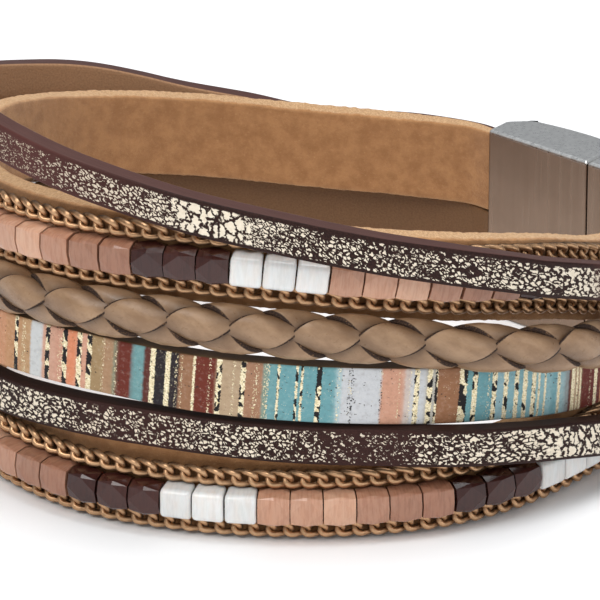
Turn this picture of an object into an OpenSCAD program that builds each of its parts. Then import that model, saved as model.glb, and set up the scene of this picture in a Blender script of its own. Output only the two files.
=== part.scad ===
// A leather wrap bracelet of six strands in one magnetic clasp, lying on its side.
// Plan: the open middle at the origin, front towards -y, the clasp at the back right.

/* [Loop] */
// Inside width of the loop
loop_w = 66; // [56:1:76]
// Inside depth of the loop
loop_d = 53; // [45:1:61]
// Height that the strands' routes are shares of
fan_h = 40; // [34:1:46]

/* [Straps] */
// Height of a suede strap as it lies
suede_w = 8.4; // [6.4:0.2:10]
// Thickness of the suede, also the unit of every outward offset
suede_t = 2; // [1.6:0.1:2.4]
// Height of a crackle strap
crackle_w = 3.8; // [3:0.2:4.6]
// Height of the striped strap
stripe_w = 5.8; // [4.8:0.2:6.8]
// Thickness of the crackle and striped straps
strap_t = 1.8; // [1.4:0.1:2.2]

/* [Beads] */
// Side of a square bead
bead = 3; // [2.4:0.1:3.4]
// Gap between beads along the string
bead_gap = 0.13; // [0.12:0.02:0.5]
// Width of a chain
chain_w = 2; // [1.6:0.1:2.4]

/* [Braid] */
// Height of the round braid
braid_h = 4.9; // [4:0.1:5.4]
// Depth of the round braid
braid_t = 3.4; // [2.8:0.1:4]
// Length in which one strand goes once round
braid_turn = 10.7; // [9:0.1:13]

/* [Clasp] */
// Length of the closed clasp
clasp_l = 18; // [15:1:22]
// Height of the clasp
clasp_h = 20.2; // [17:0.2:24]
// Thickness of the clasp at its middle
clasp_t = 5.6; // [4.4:0.2:6]

/* [Hidden] */

wall = 0.7;              // clasp wall
gap = 0.12;              // between pieces that meet
tail = 0.24 * clasp_l;   // strap end inside the clasp
skive = 0.56;            // share of its thickness that a strap keeps in the clasp
bead_t = 0.9 * bead;     // outward size of a bead
bead_l = 0.94 * bead;    // its size along the string
bead_pitch = bead_l + bead_gap;
thread_r = 0.11 * bead;
bore_r = 0.18 * bead;
chain_t = 0.75 * chain_w;
beads_from = 0.38;       // share of the loop where beads and chains begin
beads_to = 0.86;         // and end
set_off = 0.45;          // chains and beads sit this far from the middle of their strap
chain_at = (bead + chain_w) / 2 + 0.05;

X = 0; Y = 1;            // columns of the plan table
SHARE = 0; OUT = 1; HIGH = 2;   // columns of the route tables

// inner face of the loop, from the clasp's left mouth round the back, left, front and right:
// shares of half the loop's width and depth
PLAN = [[0.576, 0.808], [0.476, 0.902], [0.258, 0.989], [-0.030, 1.015], [-0.348, 0.947],
        [-0.652, 0.740], [-0.848, 0.385], [-0.915, -0.034], [-0.830, -0.464], [-0.588, -0.792],
        [-0.273, -0.947], [0.058, -0.985], [0.352, -0.925], [0.558, -0.789], [0.721, -0.596],
        [0.855, -0.374], [0.958, -0.143], [1.021, 0.083], [1.042, 0.242], [0.994, 0.371]];

// routes: share of the way round, inner face outwards in suede thicknesses,
// middle height as a share of the fan height
SUEDE_UPPER = [[0, 0.15, 0.379], [0.06, 0, 0.374], [0.12, 0, 0.387], [0.18, 0, 0.428],
    [0.25, 0, 0.491], [0.335, 0, 0.588], [0.405, 0, 0.628], [0.48, 0, 0.660], [0.56, 0, 0.692],
    [0.63, 0, 0.696], [0.70, 0, 0.666], [0.76, 0, 0.620], [0.81, 0, 0.560], [0.856, 0, 0.488],
    [0.90, 0, 0.438], [0.95, 0, 0.398], [1, 0.15, 0.379]];
SUEDE_LOWER = [[0, 0.72, 0.127], [0.025, 1.38, 0.120], [0.05, 2.03, 0.113], [0.10, 2.06, 0.109],
    [0.24, 2.06, 0.107], [0.28, 1.60, 0.106], [0.32, 0.55, 0.106], [0.345, 0.08, 0.106],
    [0.365, 0, 0.106], [0.45, 0, 0.106], [0.80, 0, 0.106], [0.86, 0, 0.106], [0.885, 0.60, 0.106],
    [0.912, 1.60, 0.106], [0.935, 2.03, 0.107], [0.955, 1.90, 0.111], [0.975, 1.38, 0.117],
    [1, 0.72, 0.127]];
CRACKLE_UPPER = [[0, 0.925, 0.420], [0.06, 1.12, 0.410], [0.11, 1.15, 0.411], [0.15, 2.50, 0.428],
    [0.178, 2.62, 0.462], [0.203, 2.62, 0.508], [0.234, 2.62, 0.564], [0.275, 2.62, 0.628],
    [0.315, 2.62, 0.692], [0.376, 2.62, 0.797], [0.437, 2.62, 0.902], [0.488, 2.62, 0.960],
    [0.52, 2.62, 0.949], [0.56, 2.62, 0.917], [0.60, 2.62, 0.878], [0.64, 2.62, 0.841],
    [0.67, 2.62, 0.810], [0.70, 2.62, 0.774], [0.74, 2.62, 0.721], [0.82, 2.62, 0.575],
    [0.87, 2.62, 0.496], [0.93, 1.70, 0.450], [1, 0.925, 0.420]];
CRACKLE_LOWER = [[0, 1.34, 0.0675], [0.025, 2.24, 0.062], [0.05, 3.10, 0.056], [0.10, 3.12, 0.054],
    [0.15, 3.12, 0.064], [0.20, 3.12, 0.100], [0.25, 3.12, 0.138], [0.28, 2.98, 0.161], [0.335, 2.50, 0.208],
    [0.405, 1.50, 0.230], [0.49, 1.15, 0.247], [0.54, 1.15, 0.271], [0.585, 1.15, 0.277],
    [0.66, 1.25, 0.263], [0.71, 1.60, 0.255], [0.75, 2.20, 0.240], [0.79, 2.45, 0.205], [0.825, 2.62, 0.163],
    [0.87, 2.70, 0.113], [0.90, 2.90, 0.096], [0.935, 3.10, 0.080], [0.955, 2.98, 0.074],
    [0.975, 2.24, 0.070], [1, 1.34, 0.0675]];
STRIPE = [[0, 0.15, 0.195], [0.025, 0.62, 0.194], [0.05, 1.05, 0.196], [0.10, 1.08, 0.208],
    [0.15, 1.08, 0.224], [0.203, 1.08, 0.253], [0.24, 1.08, 0.281], [0.28, 1.10, 0.298],
    [0.335, 1.20, 0.325], [0.417, 1.20, 0.365], [0.495, 1.20, 0.401], [0.555, 1.20, 0.422],
    [0.61, 1.20, 0.408], [0.664, 1.20, 0.395], [0.713, 1.20, 0.378], [0.76, 1.20, 0.351],
    [0.813, 1.20, 0.300], [0.84, 1.20, 0.282], [0.87, 1.18, 0.293], [0.905, 1.10, 0.292],
    [0.935, 1.06, 0.271], [0.955, 1.05, 0.221], [0.975, 0.66, 0.196], [1, 0.15, 0.195]];
BRAID = [[0, 0.925, 0.315], [0.025, 1.50, 0.310], [0.05, 2.03, 0.307], [0.10, 2.03, 0.306],
    [0.15, 2.03, 0.318], [0.203, 1.95, 0.358], [0.255, 1.60, 0.399], [0.29, 1.45, 0.432],
    [0.335, 1.38, 0.464], [0.417, 1.12, 0.500], [0.49, 1.10, 0.533], [0.56, 1.10, 0.560],
    [0.617, 1.10, 0.557], [0.665, 1.10, 0.543], [0.71, 1.15, 0.522], [0.75, 1.65, 0.490],
    [0.785, 2.15, 0.453], [0.825, 2.15, 0.402], [0.86, 2.15, 0.368], [0.90, 2.10, 0.345],
    [0.935, 2.05, 0.330], [0.965, 1.70, 0.320], [1, 0.925, 0.315]];

// plan curve through the table, straight into the clasp at both ends
middle = [0.0607, 0.0344];   // of the whole bracelet, in the same shares
Q = [for (p = PLAN) [(p[X] - middle[X]) * loop_w / 2, (p[Y] - middle[Y]) * loop_d / 2]];
last = len(Q) - 1;
along = (Q[last] - Q[0]) / norm(Q[last] - Q[0]);   // from the left mouth to the right one
P = [for (i = [0 : last]) i == 0 ? (Q[0] + Q[last]) / 2 - along * clasp_l / 2
    : i == last ? (Q[0] + Q[last]) / 2 + along * clasp_l / 2 : Q[i]];
ends = concat([P[0] + along * clasp_l / 2], P, [P[last] - along * clasp_l / 2]);
function curve(a, b, c, d, t) =
    (2 * b + (c - a) * t + (2 * a - 5 * b + 4 * c - d) * t * t + (3 * b - a - 3 * c + d) * t * t * t) / 2;
bits = 8;
G = concat([for (i = [0 : last - 1], j = [0 : bits - 1])
    curve(ends[i], ends[i + 1], ends[i + 2], ends[i + 3], j / bits)], [P[last]]);
function lengths(g, i = 0, sum = 0, out = []) =
    i == len(g) ? out :
    let (s = i == 0 ? 0 : sum + norm(g[i] - g[i - 1])) lengths(g, i + 1, s, concat(out, [s]));
S = lengths(G);
round_l = S[len(S) - 1];
GX = [for (i = [0 : len(G) - 1]) [S[i], G[i][0]]];
GY = [for (i = [0 : len(G) - 1]) [S[i], G[i][1]]];
function spot(s) = s < 0 ? P[0] - along * s
    : s > round_l ? P[last] - along * (s - round_l) : [lookup(s, GX), lookup(s, GY)];
function heading(s) = let (d = spot(s + 0.7) - spot(s - 0.7)) d / norm(d);
function outward(s) = let (h = heading(s)) [h[1], -h[0]];

// smooth reading of a route table
function row(tab, s, i = 0) = i >= len(tab) - 2 || s < tab[i + 1][SHARE] ? i : row(tab, s, i + 1);
function slope(tab, c, i) = i == 0 || i == len(tab) - 1 ? 0
    : (tab[i + 1][c] - tab[i - 1][c]) / (tab[i + 1][SHARE] - tab[i - 1][SHARE]);
function read(tab, c, at) =
    let (s = min(max(at, 0), 1), i = row(tab, s), h = tab[i + 1][SHARE] - tab[i][SHARE],
         t = (s - tab[i][SHARE]) / h)
    (1 + 2 * t) * (1 - t) * (1 - t) * tab[i][c] + t * (1 - t) * (1 - t) * h * slope(tab, c, i)
    + t * t * (3 - 2 * t) * tab[i + 1][c] + t * t * (t - 1) * h * slope(tab, c, i + 1);
// share of full thickness: thinner towards and inside the clasp
function fit_in(at, k) = let (e = min(at, 1 - at) / 0.055) e >= 1 ? 1 : k + (1 - k) * max(e, 0);

// a point of a strand: s along, o outwards from the inner face, z up
function put(s, o, z) = let (p = spot(s), n = outward(s)) [p[0] + n[0] * o, p[1] + n[1] * o, z];
// stations along the loop, closer together at the bends beside the clasp
stops = concat([-tail, -tail / 2], [for (i = [0 : 13]) i * 0.2 / 13], [for (i = [1 : 24]) 0.2 + i * 0.6 / 24],
    [for (i = [1 : 13]) 0.8 + i * 0.2 / 13]);
STOPS = concat([for (i = [0 : len(stops) - 1]) i < 2 ? stops[i] : stops[i] * round_l],
    [round_l + tail / 2, round_l + tail]);

// closed solid through rings of equal count
function skin(n, m) = concat([[for (j = [m - 1 : -1 : 0]) j]],
    [for (i = [0 : n - 2], j = [0 : m - 1]) let (k = (j + 1) % m)
        each [[i * m + j, i * m + k, (i + 1) * m + k], [i * m + j, (i + 1) * m + k, (i + 1) * m + j]]],
    [[for (j = [0 : m - 1]) (n - 1) * m + j]]);
module skinned(rings) {
    polyhedron(points = [for (r = rings, p = r) p], faces = skin(len(rings), len(rings[0])));
}

// flat strap with its long edges eased
function strap_ring(s, tab, w, t, e) =
    let (at = s / round_l, o = read(tab, OUT, at) * suede_t, z = read(tab, HIGH, at) * fan_h,
         d = t * fit_in(at, skive), h = w / 2)
    [for (q = [[0, -h + e], [e, -h], [d - e, -h], [d, -h + e], [d, h - e], [d - e, h], [e, h], [0, h - e]])
        put(s, o + q[0], z + q[1])];
module strap(tab, w, t, e) {
    skinned([for (s = STOPS) strap_ring(s, tab, w, t, e)]);
}

// rise of a route per length
function rise(tab, s) =
    (read(tab, HIGH, (s + 1) / round_l) - read(tab, HIGH, (s - 1) / round_l)) * fan_h / 2;
// round cord laid on a suede strap, up from the strap's middle line, then square to the route
function cord_ring(s, tab, up, rt, rw, n, square = 0) =
    let (at = s / round_l, lean = sqrt(1 + pow(rise(tab, s), 2)),
         z = read(tab, HIGH, at) * fan_h + up + square * lean,
         o = read(tab, OUT, at) * suede_t + suede_t)
    [for (i = [0 : n - 1]) let (a = (i + 0.5) * 360 / n) put(s, o + rt[0] + rt[1] * cos(a),
        z + rw * sin(a))];
CORD = [for (i = [0 : 29]) (beads_from + (beads_to - beads_from) * i / 29) * round_l];
module cord(tab, up, rt, rw, n, square = 0) {
    skinned([for (s = CORD) cord_ring(s, tab, up, rt, rw, n, square)]);
}

// square beads side by side, their end edges cut away and drilled along the string
GB = [for (i = [0 : len(G) - 1]) G[i] + outward(S[i]) * (suede_t + 2 * gap)];
SB = lengths(GB);        // way along the beads' inner faces
TO_BEADS = [for (i = [0 : len(S) - 1]) [S[i], SB[i]]];
FROM_BEADS = [for (i = [0 : len(S) - 1]) [SB[i], S[i]]];
module beads(tab, up, from) {
    first = lookup(from * round_l, TO_BEADS);
    count = floor((lookup(beads_to * round_l, TO_BEADS) - first) / bead_pitch);
    for (i = [0 : count - 1]) {
        s = lookup(first + (i + 0.5) * bead_pitch, FROM_BEADS);
        z = read(tab, HIGH, s / round_l) * fan_h + up;
        h = heading(s);
        translate(put(s, suede_t + 2 * gap + bead_t / 2, z)) rotate([0, 0, atan2(h[1], h[0])])
            rotate([0, -atan(rise(tab, s)), 0]) difference() {
                intersection() {
                    cube([bead_l, bead_t, bead], center = true);
                    rotate([0, 0, 45]) cube([1.22 * bead, 1.22 * bead, 2 * bead], center = true);
                }
                rotate([0, 90, 0]) cylinder(r = bore_r, h = 2 * bead, center = true, $fn = 32);
            }
    }
}

// one of four strands: hand 1 turns one way and lies over at the front, -1 the other way
braid_rings = 176;
braid_thick = 0.155 * braid_h;
braid_amp = 0.12 * braid_h;
braid_mid = braid_h / 2 - braid_thick / 2 - braid_amp;
braid_wide = 0.265 * braid_h;
braid_start = 0.33;      // way along where the first strand lies outermost
braid_tip = 20;          // the outermost row faces this much upwards
function braid_ring(s, hand, from) =
    let (turn = hand * 360 * (s - braid_start) / braid_turn + from,
         lift = braid_mid + hand * braid_amp * cos(2 * turn),
         lean = atan(3.1416 * 0.88 * braid_h / braid_turn))
    [for (q = [[-1, 0], [-0.5, 0.5], [0.5, 0.5], [1, 0], [0.5, -0.5], [-0.5, -0.5]])
        let (w = q[0] * braid_wide, sp = s - hand * w * sin(lean),
             a = braid_tip + turn + w * cos(lean) / (0.44 * braid_h) * 57.3, at = sp / round_l, k = fit_in(at, 0.42),
             r = lift + q[1] * braid_thick * (0.3 + 0.7 * k), o = read(BRAID, OUT, at) * suede_t,
             z = read(BRAID, HIGH, at) * fan_h)
        put(sp, o + k * (braid_t / 2 + r * cos(a) * braid_t / braid_h), z + r * sin(a) * (0.9 + 0.1 * k))];
module braid_strand(hand, from) {
    first = -0.85 * tail;
    skinned([for (i = [0 : braid_rings - 1])
        braid_ring(first + (round_l - 2 * first) * i / (braid_rings - 1), hand, from)]);
}

// clasp outline in plan: u along from the left mouth, v outwards from the inner face
pocket_in = 0.075 * suede_t;                       // inner side of the pockets
pocket_out = 1.34 * suede_t + skive * strap_t + gap;   // outer side
inner_v = pocket_in - wall;
function rise_v(u) = let (e = min(u, clasp_l - u) / clasp_l)
    inner_v + clasp_t * (e < 0.15 ? 0.5 + 0.38 * sin(e / 0.15 * 90) : 0.88 + 0.12 * sin((e - 0.15) / 0.35 * 90));
function outer_line(a, b, n) = [for (i = [0 : n]) let (u = a + (b - a) * i / n) [u, rise_v(u)]];
seam = 0.69 * clasp_l;
lap = 0.10 * clasp_l;
module slab(points) {
    translate([P[0][0], P[0][1], 0]) rotate([0, 0, atan2(along[1], along[0])])
        linear_extrude(height = clasp_h) polygon(points);
}
module pocket(a, b) {
    translate([P[0][0], P[0][1], 0]) rotate([0, 0, atan2(along[1], along[0])])
        translate([a, pocket_in - gap, wall])
            cube([b - a, pocket_out - pocket_in + 2 * gap, clasp_h - 2 * wall]);
}

module suede_strap_upper() { color("peru") strap(SUEDE_UPPER, suede_w, suede_t, 0.2); }
module suede_strap_lower() { color("peru") strap(SUEDE_LOWER, suede_w, suede_t, 0.2); }
module crackle_strap_upper() { color("saddlebrown") strap(CRACKLE_UPPER, crackle_w, strap_t, 0.2); }
module crackle_strap_lower() { color("saddlebrown") strap(CRACKLE_LOWER, crackle_w, strap_t, 0.2); }
module stripe_strap() { color("darkkhaki") strap(STRIPE, stripe_w, strap_t, 0.2); }
module braid_strand_1() { color("tan") braid_strand(1, 0); }
module braid_strand_2() { color("tan") braid_strand(1, 180); }
module braid_strand_3() { color("tan") braid_strand(-1, 0); }
module braid_strand_4() { color("tan") braid_strand(-1, 180); }
module beads_upper() { color("salmon") beads(SUEDE_UPPER, set_off, beads_from + 0.003); }
module beads_lower() { color("salmon") beads(SUEDE_LOWER, -set_off, beads_from); }
module thread_upper() {
    color("black") cord(SUEDE_UPPER, set_off, [2 * gap + bead_t / 2, thread_r], thread_r, 6);
}
module thread_lower() {
    color("black") cord(SUEDE_LOWER, -set_off, [2 * gap + bead_t / 2, thread_r], thread_r, 6);
}
module chain(tab, up, square) {
    cord(tab, up, [gap + chain_t / 2, chain_t / 2], chain_w / 2, 8, square);
}
module chain_upper_top() { color("goldenrod") chain(SUEDE_UPPER, set_off, chain_at); }
module chain_upper_bottom() { color("goldenrod") chain(SUEDE_UPPER, set_off, -chain_at); }
module chain_lower_top() { color("goldenrod") chain(SUEDE_LOWER, -set_off, chain_at); }
module chain_lower_bottom() { color("goldenrod") chain(SUEDE_LOWER, -set_off, -chain_at); }
module clasp_left() {
    color("silver") difference() {
        slab(concat([[0, inner_v], [seam - gap / 2, inner_v], [seam - gap / 2, inner_v + 0.72 * clasp_t],
            [seam - lap, inner_v + 0.72 * clasp_t]], outer_line(seam - lap, 0, 16)));
        pocket(-1, tail + 0.5);
    }
}
module clasp_right() {
    color("silver") difference() {
        slab(concat([[seam + gap / 2, inner_v], [clasp_l, inner_v]],
            outer_line(clasp_l, seam - lap + gap, 20),
            [[seam - lap + gap, inner_v + 0.72 * clasp_t + gap], [seam + gap / 2, inner_v + 0.72 * clasp_t + gap]]));
        pocket(clasp_l - tail - 0.5, clasp_l + 1);
    }
}

suede_strap_upper();
suede_strap_lower();
crackle_strap_upper();
crackle_strap_lower();
stripe_strap();
braid_strand_1();
braid_strand_2();
braid_strand_3();
braid_strand_4();
beads_upper();
beads_lower();
thread_upper();
thread_lower();
chain_upper_top();
chain_upper_bottom();
chain_lower_top();
chain_lower_bottom();
clasp_left();
clasp_right();
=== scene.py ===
import math
import random

import bpy
import numpy as np
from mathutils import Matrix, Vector, noise


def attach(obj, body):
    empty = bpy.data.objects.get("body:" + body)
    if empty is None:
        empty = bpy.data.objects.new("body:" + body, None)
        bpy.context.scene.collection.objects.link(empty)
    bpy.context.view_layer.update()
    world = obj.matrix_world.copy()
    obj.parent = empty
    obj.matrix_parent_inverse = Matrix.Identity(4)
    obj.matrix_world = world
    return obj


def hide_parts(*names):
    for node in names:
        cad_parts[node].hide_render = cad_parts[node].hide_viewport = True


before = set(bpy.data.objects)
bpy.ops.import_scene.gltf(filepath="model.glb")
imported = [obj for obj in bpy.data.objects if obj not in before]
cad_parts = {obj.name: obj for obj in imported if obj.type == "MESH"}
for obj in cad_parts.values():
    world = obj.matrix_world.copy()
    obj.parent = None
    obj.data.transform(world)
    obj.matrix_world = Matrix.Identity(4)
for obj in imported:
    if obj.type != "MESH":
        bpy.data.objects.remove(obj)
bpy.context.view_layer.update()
MM = 0.001
TAU = 2 * math.pi

# Sizes and routes as in the part's source, in millimetres
LOOP_W, LOOP_D, FAN_H = 66, 53, 40
SUEDE_W, SUEDE_T, CRACKLE_W, STRIPE_W, STRAP_T = 8.4, 2, 3.8, 5.8, 1.8
BEAD, BEAD_GAP, CHAIN_W = 3, 0.13, 2
BRAID_H, BRAID_T, BRAID_TURN = 4.9, 3.4, 10.7
CLASP_L, CLASP_H, GAP = 18, 20.2, 0.12
TAIL = 0.24 * CLASP_L
BEAD_T, BEAD_L, CHAIN_T = 0.9 * BEAD, 0.94 * BEAD, 0.75 * CHAIN_W
BEADS_FROM, BEADS_TO, SET_OFF = 0.38, 0.86, 0.45
CHAIN_AT = (BEAD + CHAIN_W) / 2 + 0.05
SKIVE = 0.56             # share of a strap's thickness that is left in the clasp
MIDDLE = np.array([0.0607, 0.0344])
PLAN = np.array([[0.576, 0.808], [0.476, 0.902], [0.258, 0.989], [-0.030, 1.015], [-0.348, 0.947],
                 [-0.652, 0.740], [-0.848, 0.385], [-0.915, -0.034], [-0.830, -0.464], [-0.588, -0.792],
                 [-0.273, -0.947], [0.058, -0.985], [0.352, -0.925], [0.558, -0.789], [0.721, -0.596],
                 [0.855, -0.374], [0.958, -0.143], [1.021, 0.083], [1.042, 0.242], [0.994, 0.371]])
# columns: share of the way round, inner face outwards in suede thicknesses, middle height as a share of FAN_H
OUT, HIGH = 1, 2
SUEDE_UPPER = np.array([
    [0, 0.15, 0.379], [0.06, 0, 0.374], [0.12, 0, 0.387], [0.18, 0, 0.428], [0.25, 0, 0.491],
    [0.335, 0, 0.588], [0.405, 0, 0.628], [0.48, 0, 0.660], [0.56, 0, 0.692], [0.63, 0, 0.696],
    [0.70, 0, 0.666], [0.76, 0, 0.620], [0.81, 0, 0.560], [0.856, 0, 0.488], [0.90, 0, 0.438],
    [0.95, 0, 0.398], [1, 0.15, 0.379]])
SUEDE_LOWER = np.array([
    [0, 0.72, 0.127], [0.025, 1.38, 0.120], [0.05, 2.03, 0.113], [0.10, 2.06, 0.109],
    [0.24, 2.06, 0.107], [0.28, 1.60, 0.106], [0.32, 0.55, 0.106], [0.345, 0.08, 0.106],
    [0.365, 0, 0.106], [0.45, 0, 0.106], [0.80, 0, 0.106], [0.86, 0, 0.106], [0.885, 0.60, 0.106],
    [0.912, 1.60, 0.106], [0.935, 2.03, 0.107], [0.955, 1.90, 0.111], [0.975, 1.38, 0.117],
    [1, 0.72, 0.127]])
CRACKLE_UPPER = np.array([
    [0, 0.925, 0.420], [0.06, 1.12, 0.410], [0.11, 1.15, 0.411], [0.15, 2.50, 0.428],
    [0.178, 2.62, 0.462], [0.203, 2.62, 0.508], [0.234, 2.62, 0.564], [0.275, 2.62, 0.628],
    [0.315, 2.62, 0.692], [0.376, 2.62, 0.797], [0.437, 2.62, 0.902], [0.488, 2.62, 0.960],
    [0.52, 2.62, 0.949], [0.56, 2.62, 0.917], [0.60, 2.62, 0.878], [0.64, 2.62, 0.841],
    [0.67, 2.62, 0.810], [0.70, 2.62, 0.774], [0.74, 2.62, 0.721], [0.82, 2.62, 0.575],
    [0.87, 2.62, 0.496], [0.93, 1.70, 0.450], [1, 0.925, 0.420]])
CRACKLE_LOWER = np.array([
    [0, 1.34, 0.0675], [0.025, 2.24, 0.062], [0.05, 3.10, 0.056], [0.10, 3.12, 0.054],
    [0.15, 3.12, 0.064], [0.20, 3.12, 0.100], [0.25, 3.12, 0.138], [0.28, 2.98, 0.161],
    [0.335, 2.50, 0.208], [0.405, 1.50, 0.230], [0.49, 1.15, 0.247], [0.54, 1.15, 0.271],
    [0.585, 1.15, 0.277], [0.66, 1.25, 0.263], [0.71, 1.60, 0.255], [0.75, 2.20, 0.240],
    [0.79, 2.45, 0.205], [0.825, 2.62, 0.163], [0.87, 2.70, 0.113], [0.90, 2.90, 0.096],
    [0.935, 3.10, 0.080], [0.955, 2.98, 0.074], [0.975, 2.24, 0.070], [1, 1.34, 0.0675]])
STRIPE = np.array([
    [0, 0.15, 0.195], [0.025, 0.62, 0.194], [0.05, 1.05, 0.196], [0.10, 1.08, 0.208],
    [0.15, 1.08, 0.224], [0.203, 1.08, 0.253], [0.24, 1.08, 0.281], [0.28, 1.10, 0.298],
    [0.335, 1.20, 0.325], [0.417, 1.20, 0.365], [0.495, 1.20, 0.401], [0.555, 1.20, 0.422],
    [0.61, 1.20, 0.408], [0.664, 1.20, 0.395], [0.713, 1.20, 0.378], [0.76, 1.20, 0.351],
    [0.813, 1.20, 0.300], [0.84, 1.20, 0.282], [0.87, 1.18, 0.293], [0.905, 1.10, 0.292],
    [0.935, 1.06, 0.271], [0.955, 1.05, 0.221], [0.975, 0.66, 0.196], [1, 0.15, 0.195]])
BRAID = np.array([
    [0, 0.925, 0.315], [0.025, 1.50, 0.310], [0.05, 2.03, 0.307], [0.10, 2.03, 0.306],
    [0.15, 2.03, 0.318], [0.203, 1.95, 0.358], [0.255, 1.60, 0.399], [0.29, 1.45, 0.432],
    [0.335, 1.38, 0.464], [0.417, 1.12, 0.500], [0.49, 1.10, 0.533], [0.56, 1.10, 0.560],
    [0.617, 1.10, 0.557], [0.665, 1.10, 0.543], [0.71, 1.15, 0.522], [0.75, 1.65, 0.490],
    [0.785, 2.15, 0.453], [0.825, 2.15, 0.402], [0.86, 2.15, 0.368], [0.90, 2.10, 0.345],
    [0.935, 2.05, 0.330], [0.965, 1.70, 0.320], [1, 0.925, 0.315]])


def lengths(points):
    """How far along a line each of its points lies."""
    return np.concatenate([[0], np.cumsum(np.linalg.norm(np.diff(points, axis=0), axis=1))])


def unit(rows):
    """The same directions, each one long."""
    return rows / np.linalg.norm(rows, axis=1)[:, None]


# Plan curve, measured as the source measures it
BITS = 8
KNOTS = (PLAN - MIDDLE) * [LOOP_W / 2, LOOP_D / 2]
LAST = len(KNOTS) - 1
ALONG = (KNOTS[-1] - KNOTS[0]) / np.linalg.norm(KNOTS[-1] - KNOTS[0])
HALF_CLASP = ALONG * CLASP_L / 2
clasp_middle = (KNOTS[0] + KNOTS[-1]) / 2
KNOTS[0] = clasp_middle - HALF_CLASP
KNOTS[-1] = clasp_middle + HALF_CLASP
ENDS = np.vstack([KNOTS[0] + HALF_CLASP, KNOTS, KNOTS[-1] - HALF_CLASP])


def bend(i, t):
    """The smooth curve's points between the knots i and i + 1."""
    a, b, c, d = ENDS[i], ENDS[i + 1], ENDS[i + 2], ENDS[i + 3]
    t = t[:, None]
    return (2 * b + (c - a) * t + (2 * a - 5 * b + 4 * c - d) * t ** 2
            + (3 * b - a - 3 * c + d) * t ** 3) / 2


marks = np.arange(LAST * BITS + 1)
ROUTE = bend(np.minimum(marks // BITS, LAST - 1), np.where(marks == LAST * BITS, 1, (marks % BITS) / BITS))
WAY = lengths(ROUTE)
ROUND = WAY[-1]


def spot(s):
    """Plan place at s millimetres along the curve, straight on beyond its ends."""
    s = np.atleast_1d(np.asarray(s, float))
    mark = np.clip(np.searchsorted(WAY, s, side="right") - 1, 0, len(WAY) - 2)
    past = np.clip((s - WAY[mark]) / (WAY[mark + 1] - WAY[mark]), 0, 1)
    place = bend(mark // BITS, (mark % BITS + past) / BITS)
    place = np.where((s < 0)[:, None], KNOTS[0] - ALONG * s[:, None], place)
    return np.where((s > ROUND)[:, None], KNOTS[-1] - ALONG * (s - ROUND)[:, None], place)


def heading(s, reach=0.7):
    """Direction of the curve at s, taken from reach before it to reach after it."""
    return unit(spot(np.asarray(s) + reach) - spot(np.asarray(s) - reach))


def outward(s):
    ahead = heading(s)
    return np.stack([ahead[:, 1], -ahead[:, 0]], 1)


def read(tab, column, at):
    """A table's column at a share of the way round, smoothed as in the source."""
    shares, values = tab[:, 0], tab[:, column]
    slopes = np.zeros(len(shares))
    slopes[1:-1] = (values[2:] - values[:-2]) / (shares[2:] - shares[:-2])
    at = np.clip(at, 0, 1)
    row = np.clip(np.searchsorted(shares, at, side="right") - 1, 0, len(shares) - 2)
    long = shares[row + 1] - shares[row]
    t = (at - shares[row]) / long
    return ((1 + 2 * t) * (1 - t) ** 2 * values[row] + t * (1 - t) ** 2 * long * slopes[row]
            + t * t * (3 - 2 * t) * values[row + 1] + t * t * (t - 1) * long * slopes[row + 1])


def middle_z(tab, s):
    return read(tab, HIGH, s / ROUND) * FAN_H


def rise(tab, s):
    return (middle_z(tab, s + 1) - middle_z(tab, s - 1)) / 2


def fit_in(at, least, share=0.055):
    """1 along the loop, and down to least over the last share of the way before each end."""
    inside = np.minimum(at, 1 - at) / share
    return np.where(inside >= 1, 1, least + (1 - least) * np.maximum(inside, 0))


def put(s, out, z):
    """Points at s millimetres along, out millimetres outwards and at the height z."""
    s = np.asarray(s, float)
    xy = spot(s.ravel()) + outward(s.ravel()) * np.broadcast_to(out, s.shape).ravel()[:, None]
    return np.column_stack([xy, np.broadcast_to(z, s.shape).ravel()]).reshape(s.shape + (3,))


def axes(ahead):
    """The three directions of a thing that points ahead: ahead, level outwards and up."""
    level = np.array([ahead[1], -ahead[0], 0]) / math.hypot(ahead[0], ahead[1])
    return np.array([ahead, level, np.cross(level, ahead)])


# Mesh making
FIELDS = {"FLOAT": "value", "FLOAT_COLOR": "color", "FLOAT_VECTOR": "vector"}


def piece(name, verts, faces, material, layers, smooth=None):
    """A mesh in place of the CAD node of that name. layers: name, kind and a value for each point."""
    mesh = bpy.data.meshes.new(name)
    mesh.from_pydata((np.asarray(verts) * MM).tolist(), [], faces)
    for key, kind, values in layers:
        layer = mesh.attributes.new(key, kind, "POINT")
        layer.data.foreach_set(FIELDS[kind], np.asarray(values, float).ravel())
    mesh.polygons.foreach_set("use_smooth", smooth or [True] * len(mesh.polygons))
    mesh.materials.append(material)
    mesh.update()
    obj = bpy.data.objects.new(name, mesh)
    bpy.context.scene.collection.objects.link(obj)
    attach(obj, "root")
    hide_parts(name)


def wall(rings, sides, closed=False):
    """Faces between rings of points, each ring to the next, and from the last to the first when closed."""
    steps = range(rings if closed else rings - 1)
    return [(i * sides + j, (i + 1) % rings * sides + j, (i + 1) % rings * sides + (j + 1) % sides,
             i * sides + (j + 1) % sides) for i in steps for j in range(sides)]


def tube_faces(rings, sides):
    return wall(rings, sides) + [list(range(sides)),
                                 list(range(rings * sides - 1, (rings - 1) * sides - 1, -1))]


def stations(rings, inside=12):
    """Places of a strap's rings: inside each end of the clasp, and along the loop."""
    return np.concatenate([np.linspace(-TAIL, 0, inside, endpoint=False), np.linspace(0, ROUND, rings),
                           np.linspace(ROUND, ROUND + TAIL, inside + 1)[1:]])


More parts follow.
